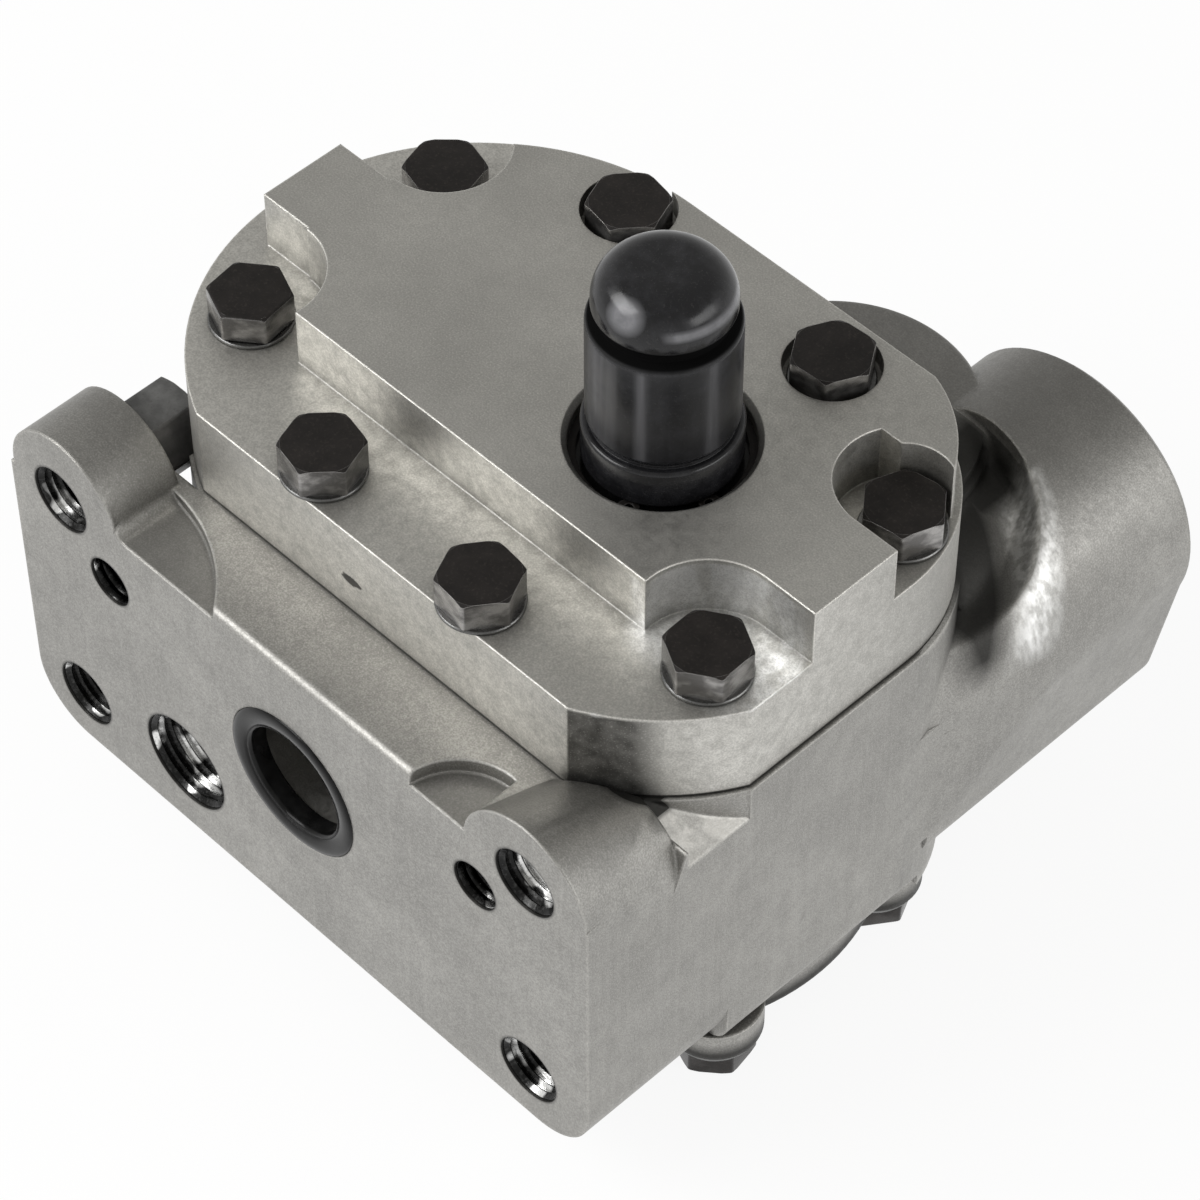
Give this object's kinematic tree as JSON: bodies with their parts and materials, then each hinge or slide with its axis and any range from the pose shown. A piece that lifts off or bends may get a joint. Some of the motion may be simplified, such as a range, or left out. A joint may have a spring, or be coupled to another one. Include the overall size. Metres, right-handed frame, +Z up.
{
  "type": "hydraulic gear pump",
  "caption": "External gear pump with a side mounting flange, stepped bolted cover, capped splined shaft and round suction boss.",
  "frame": {"origin": "on the drive shaft's axis, level with the top face of the front cover", "axes": "+Z up along the drive shaft, towards its splined end; +Y away from the mounting flange; +X along the flange towards the drive side"},
  "size_m": [0.1436, 0.141, 0.1493],
  "materials": {
    "cast_aluminium": "fine cast and blasted",
    "machined_aluminium": "milled",
    "black_bolt": "black oxide",
    "steel": "turned",
    "bronze": "turned",
    "black_rubber": "smooth",
    "black_plastic": "gloss"
  },
  "bodies": {
    "housing": {"main_housing": "cast_aluminium", "front_cover": "machined_aluminium", "rear_cover": "cast_aluminium", "cover_bolts": "black_bolt", "cover_washers": "black_bolt", "rear_bolts": "black_bolt", "rear_washers": "steel", "front_bearing_block": "machined_aluminium", "rear_bearing_block": "machined_aluminium", "front_bushes": "bronze", "rear_bushes": "bronze", "front_block_seals": "black_rubber", "rear_block_seals": "black_rubber", "cover_seal": "black_rubber", "rear_seal": "black_rubber", "shaft_seal": "black_rubber", "retaining_ring": "black_bolt", "dowel_pins": "steel", "outlet_ring": "black_rubber", "hole_plug": "steel"},
    "drive": {"drive_gear": "steel"},
    "driven": {"driven_gear": "steel"},
    "cap": {"shaft_cap": "black_plastic"}
  },
  "joints": [
    {"name": "drive_spin", "type": "hinge", "parent": "housing", "child": "drive", "pos_m": [0, 0, 0], "axis": [0, 0, 1], "continuous": true},
    {"name": "driven_spin", "type": "hinge", "parent": "housing", "child": "driven", "pos_m": [-0.04, 0, 0], "axis": [0, 0, 1], "continuous": true},
    {"name": "cap_slide", "type": "slide", "parent": "drive", "child": "cap", "axis": [0, 0, 1], "range_m": [0, 0.05]}
  ],
  "couplings": [
    {"joint": "driven_spin", "follows": "drive_spin", "ratio": -1}
  ]
}
